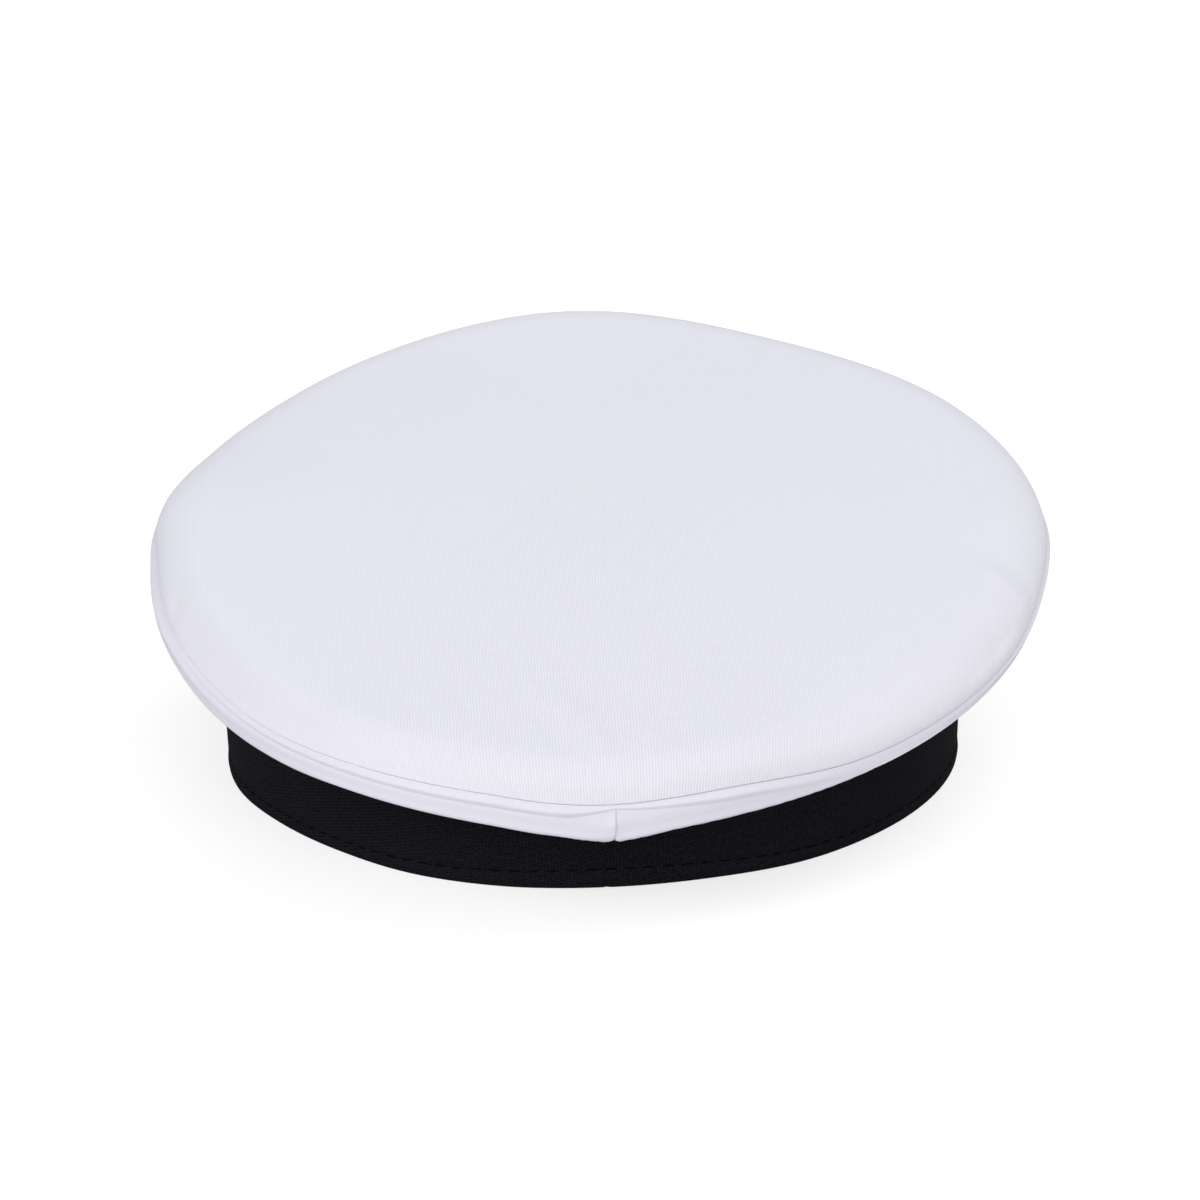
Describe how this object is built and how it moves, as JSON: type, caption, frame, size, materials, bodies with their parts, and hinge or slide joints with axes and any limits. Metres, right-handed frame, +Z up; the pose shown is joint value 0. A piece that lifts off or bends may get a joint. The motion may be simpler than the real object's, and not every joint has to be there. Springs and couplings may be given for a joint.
{
  "type": "captain hat",
  "caption": "Captain hat with a padded white cloth crown that slopes down to the back, a white side panel, a black cloth band and a black peak, lying on its band.",
  "frame": {"origin": "below the middle of the whole hat, on the surface that its band lies on", "axes": "+Z up; -Y to the front, where the peak is; +Y to the back seam; X across the hat"},
  "size_m": [0.2228, 0.262, 0.0805],
  "materials": {
    "white_cloth": "white twill, foam-backed on the top",
    "black_cloth": "black twill"
  },
  "bodies": {
    "root": {"crown_top": "white_cloth", "crown_side": "white_cloth", "band": "black_cloth", "peak": "black_cloth"}
  },
  "joints": []
}
